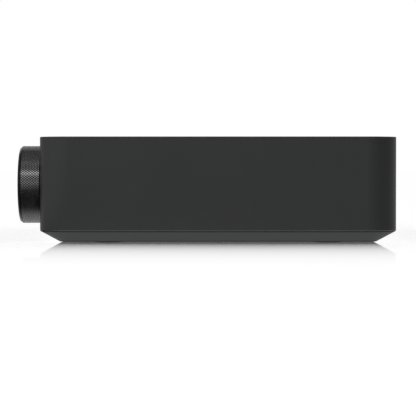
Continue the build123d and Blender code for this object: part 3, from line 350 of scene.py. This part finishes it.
def knob_grip():
    low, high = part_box("knob_grip")
    middle, length, radius = (low + high) / 2, high.y - low.y, (high.x - low.x) / 2
    diamonds, rows = 100, 13
    depth, crown, bevel, fit = 0.11 * MM, 0.006 * MM, 0.1 * MM, 0.1 * MM
    # How far a shoulder is moved away from its top, in steps of the lattice
    widening = 0.08
    count, lines = 4 * diamonds, 2 * rows
    step = (length - 2 * bevel) / lines
    end_radius = radius - depth / 2
    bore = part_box("knob_hub")[1].x - middle.x + fit

    def spot(j, k):
        """Radius, turn and line of a point on the lattice: a groove, a top, or a shoulder between them."""
        if k in (0, lines):
            return end_radius, j, k
        if (j + k) % 2:
            shift = widening if (j + k + 1) % 4 == 0 else -widening
            return (radius - crown, j + shift, k) if k % 2 == 0 else (radius - crown, j, k + shift)
        top = j % 2 == 0 and (j + k) % 4 == 2
        return (radius if top else radius - depth), j, k

    # Rings of (radius, turn, distance from the rear end): a flat end, the lattice and the other flat end
    flat_end = [bore, end_radius - bevel]
    table = [[(r, j, 0.0) for j in range(count)] for r in flat_end]
    for k in range(lines + 1):
        spots = [spot(j, k) for j in range(count)]
        table.append([(r, turn, bevel + line * step) for r, turn, line in spots])
    table += [[(r, j, length) for j in range(count)] for r in reversed(flat_end)]

    points, faces = [], []
    for ring in table:
        for r, turn, y in ring:
            angle = tau * turn / count
            points.append((middle.x + r * cos(angle), high.y - y, middle.z + r * sin(angle)))

    # One corner of each square on the lattice is a top, or a crossing of grooves. The square is cut along
    # the edge of the top, or along the groove.
    for i in range(len(table)):
        k = i - len(flat_end)
        for j in range(count):
            a, b = i * count + j, i * count + (j + 1) % count
            d, c = (a + count) % len(points), (b + count) % len(points)
            crossing = (k + k % 2 + j + j % 2) % 4 == 0
            if not 0 <= k < lines:
                faces.append((a, b, c, d))
            elif ((k + j) % 2 == 0) == crossing:
                faces += [(a, b, c), (a, c, d)]
            else:
                faces += [(a, b, d), (b, c, d)]
    made = piece("knob_grip_knurled", "knob", "knurled_metal", points, faces)
    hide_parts("knob_grip")


# Marks on the front and the back, and the standby light

def mark(name, sign, size, place, turn=0.0):
    """A printed sign as a thin mesh. It faces the front, and then turns about Z."""
    text = bpy.data.curves.new("mark", "FONT")
    text.body = sign
    text.size = size
    text.extrude = 0.01 * MM
    text.align_x = "CENTER"
    holder = add_object("mark", text)
    flat = bpy.data.meshes.new_from_object(holder)
    bpy.data.objects.remove(holder)
    upright = Matrix.Rotation(turn, 4, "Z") @ Matrix.Rotation(pi / 2, 4, "X")
    flat.transform(Matrix.Translation(place) @ upright)
    points = [v.co for v in flat.vertices]
    piece(name, "case", "cable_grey", points, [tuple(p.vertices) for p in flat.polygons])


def preset_numbers():
    """A number under each preset key."""
    keys, size, drop = 6, 3.6 * MM, 2.2 * MM
    surface_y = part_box("front_fascia")[0].y
    for number in range(1, keys + 1):
        key = f"preset_button_{number}"
        place = (middle_of(key).x, surface_y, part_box(key)[0].z - drop)
        mark(f"preset_number_{number}", str(number), size, place)


def polarities():
    """Plus or minus under each binding post."""
    size, drop = 5 * MM, 3.6 * MM
    surface_y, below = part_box("rear_panel")[1].y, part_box("terminal_block")[0].z - drop
    for side in ("left", "right"):
        for pole, sign in (("minus", "-"), ("plus", "+")):
            place = (middle_of(f"post_cap_{side}_{pole}").x, surface_y, below)
            mark(f"polarity_{side}_{pole}", sign, size, place, turn=pi)


def standby_light():
    """A low lens in the fascia, beside the power key."""
    sides, gap = 24, 3 * MM
    x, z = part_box("power_button")[1].x + gap, middle_of("power_button").z
    surface_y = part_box("front_fascia")[0].y
    # (radius, depth) in mm, from inside the fascia out to the middle of the lens
    profile = [(0.75, 0.3), (0.75, -0.02), (0.6, -0.1), (0.3, -0.14), (0.02, -0.15)]
    rings = []
    for radius, depth in profile:
        r, y = radius * MM, surface_y + depth * MM
        turns = [tau * j / sides for j in range(sides)]
        rings.append([(x + r * cos(turn), y, z + r * sin(turn)) for turn in turns])
    points, faces = [], []
    add_tube(rings, points, faces)
    piece("standby_light", "case", "insert_white", points, faces, smooth=True)


# Contacts in the sockets at the back

def contacts(socket, places, width, bends, from_top=False):
    """Bent gold strips side by side in a socket, measured in mm. places are across from its middle. bends
    are the points along a strip, as (depth from its mouth, drop from its middle or from its top)."""
    low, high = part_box(f"{socket}_socket")
    middle, thick = (low + high) / 2, 0.25 * MM
    level = high.z if from_top else middle.z
    points, faces = [], []
    for place in places:
        left, right = middle.x + (place - width / 2) * MM, middle.x + (place + width / 2) * MM
        rings = []
        for depth, drop in bends:
            y, z = high.y - depth * MM, level - drop * MM
            rings.append([(left, y, z), (right, y, z), (right, y, z + thick), (left, y, z + thick)])
        add_tube(rings, points, faces)
    piece(f"{socket}_contacts", "case", "gold_plate", points, faces)


knob_grip()
preset_numbers()
polarities()
standby_light()
contacts("ethernet", places=[(i - 3.5) * 1.02 for i in range(8)], width=0.45,
         bends=[(1.6, 2.2), (2.2, 2.0), (10.5, 5.1), (11.2, 5.1)], from_top=True)
contacts("usb", places=[-3.5, -1.0, 1.0, 3.5], width=1.1, bends=[(1.6, 0.27), (6.0, 0.4), (11.0, 0.27)])
contacts("hdmi", places=[i - 4.5 for i in range(10)], width=0.4, bends=[(1.3, 0.56), (7.0, 0.56)])


# Floor, surroundings and light

def footprint_distance(n, place):
    """Distance in metres, on the floor, outwards from the edge of the case's flat bottom."""
    low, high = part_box("base_tray")
    middle, half = (low + high) / 2, (high - low) / 2
    chamfer_run, corner_radius = 12.8 * MM, 6.2 * MM
    outside = []
    for axis, centre, reach in (("X", middle.x, half.x), ("Y", middle.y, half.y)):
        away = n.math("ABSOLUTE", n.math("SUBTRACT", place[axis], centre))
        corner = reach - chamfer_run - corner_radius
        outside.append(n.math("MAXIMUM", n.math("SUBTRACT", away, corner), 0.0))
    distance = n.math("SQRT", n.math("ADD", *[n.product(v, v) for v in outside]))
    return n.math("MAXIMUM", n.math("SUBTRACT", distance, corner_radius), 0.0)


def floor():
    """White floor that mirrors what stands on it, less with distance. Reflections see it grey, with a card
    in front of the case that is bright under the knob, dimmer further in and black past it."""
    reach = 20.0
    corners = [(-reach, -reach, 0), (reach, -reach, 0), (reach, reach, 0), (-reach, reach, 0)]
    mesh = bpy.data.meshes.new("floor")
    mesh.from_pydata(corners, [], [(0, 1, 2, 3)])
    made = add_object("floor", mesh)
    paint = bpy.data.materials.new("floor")
    paint.use_nodes = True
    n = Nodes(paint.node_tree)
    place = n.add("SeparateXYZ", {"Vector": n.add("NewGeometry").outputs["Position"]}).outputs
    path = n.add("LightPath").outputs

    # The mirror is full near the case's bottom, fades further out, and shows only at a low angle
    full, fading = 5 * MM, 82 * MM
    past = n.math("SUBTRACT", footprint_distance(n, place), full)
    near = n.math("MINIMUM", n.math("EXPONENT", n.math("DIVIDE", past, -fading)), 1.0)
    grazing = n.span(n.add("LayerWeight").outputs["Facing"], 0.8, 0.93)
    mirror = n.product(near, grazing, path["Is Camera Ray"])

    # Levels that reflections see, by place: those of the plain floor, those of the card, and its edges
    plain = n.span(place["X"], 0.15, 0.22, 0.5, 0.36, smooth=True)
    card = n.product(n.span(place["X"], 0.04, 0.075, 0.3, 1.0, smooth=True),
                     n.span(place["X"], 0.1, 0.13, 1.0, 0.03, smooth=True))
    on_card = n.product(n.span(place["Y"], -0.105, -0.109, smooth=True),
                        n.span(place["Y"], -0.165, -0.14, smooth=True),
                        n.span(place["X"], 0.38, 0.22, smooth=True))
    level = n.blend(on_card, plain, card)

    # To the camera a share of the white glows, so that the floor is as white as what is behind it
    share = 0.3
    matt = n.add("BsdfDiffuse", {"Color": grey(0.985)}).outputs[0]
    matt = n.mix(n.product(path["Is Camera Ray"], share), matt, n.glow(WHITE))
    matt = n.mix(path["Is Glossy Ray"], matt, n.glow(level))
    gloss = n.add("BsdfGlossy", {"Color": WHITE, "Roughness": 0.02}).outputs[0]
    n.end(n.mix(mirror, matt, gloss))
    mesh.materials.append(paint)


def studio():
    """White to the camera and as light. Reflections see an arch of bright and dark bands over the case,
    and other levels in front of it and behind it."""
    world = bpy.data.worlds.new("studio")
    bpy.context.scene.world = world
    world.use_nodes = True
    n = Nodes(world.node_tree)
    path = n.add("LightPath").outputs
    way = n.add("SeparateXYZ", {"Vector": n.add("TexCoord").outputs["Generated"]}).outputs

    # The arch goes from the right, over the top, to the left, and is dimmer towards the back
    half_turns = n.math("DIVIDE", n.math("ARCTAN2", way["Z"], way["X"]), pi)
    arch = n.ramp(half_turns, [(0.0, 0.54), (0.1, 0.65), (0.18, 0.61), (0.26, 0.43), (0.355, 0.42),
                               (0.455, 0.3), (0.575, 0.12), (0.65, 0.12), (0.73, 0.62), (0.83, 1.0),
                               (0.9, 1.0), (0.95, 0.5), (1.0, 0.3)])
    arch = n.scale(arch, n.span(way["Y"], -0.5, 0.5, 1.5, 0.5))

    # In front and behind, the levels low down go from left to right, and higher up there is one level
    rightwards = n.span(way["X"], -1.0, 1.0)
    front = n.ramp(rightwards, [(0.0, 0.3), (0.1, 0.2), (0.2, 0.32), (0.37, 0.5), (0.57, 0.85),
                                (0.735, 1.0), (0.9, 0.85), (1.0, 0.65)])
    rear = n.ramp(rightwards, [(0.0, 0.5), (0.125, 0.42), (0.25, 0.3), (0.5, 0.16), (0.75, 0.16),
                               (0.9, 0.3), (1.0, 0.5)])
    ends = n.blend(n.span(way["Y"], -0.1, 0.1), front, rear)
    ends = n.blend(n.span(way["Z"], 0.12, 0.4, smooth=True), ends, grey(0.5))
    endways = n.span(n.math("ABSOLUTE", way["Y"]), 0.35, 0.6, smooth=True)
    level = n.blend(endways, arch, ends)

    # It is white straight to the left, which is what the floor mirrors past the case
    straight_left = n.span(way["X"], -0.98, -0.99, smooth=True)
    level = n.math("MINIMUM", n.blend(straight_left, level, WHITE), 1.0)

    seen = n.blend(path["Is Glossy Ray"], WHITE, level)
    seen = n.blend(path["Is Camera Ray"], seen, WHITE)
    n.end(n.add("Background", {"Color": seen, "Strength": 1.0}).outputs[0], "OutputWorld")


def key_light():
    """A long soft lamp high up to the right of the case, a little in front of it."""
    lamp = bpy.data.lights.new("key", "AREA")
    lamp.shape = "RECTANGLE"
    lamp.size, lamp.size_y = 1.4, 0.35
    lamp.energy = 2.4
    aim(add_object("key", lamp), place=(1.44, -0.5, 0.98), target=(0.1, 0.0, 0.03))


floor()
studio()
key_light()
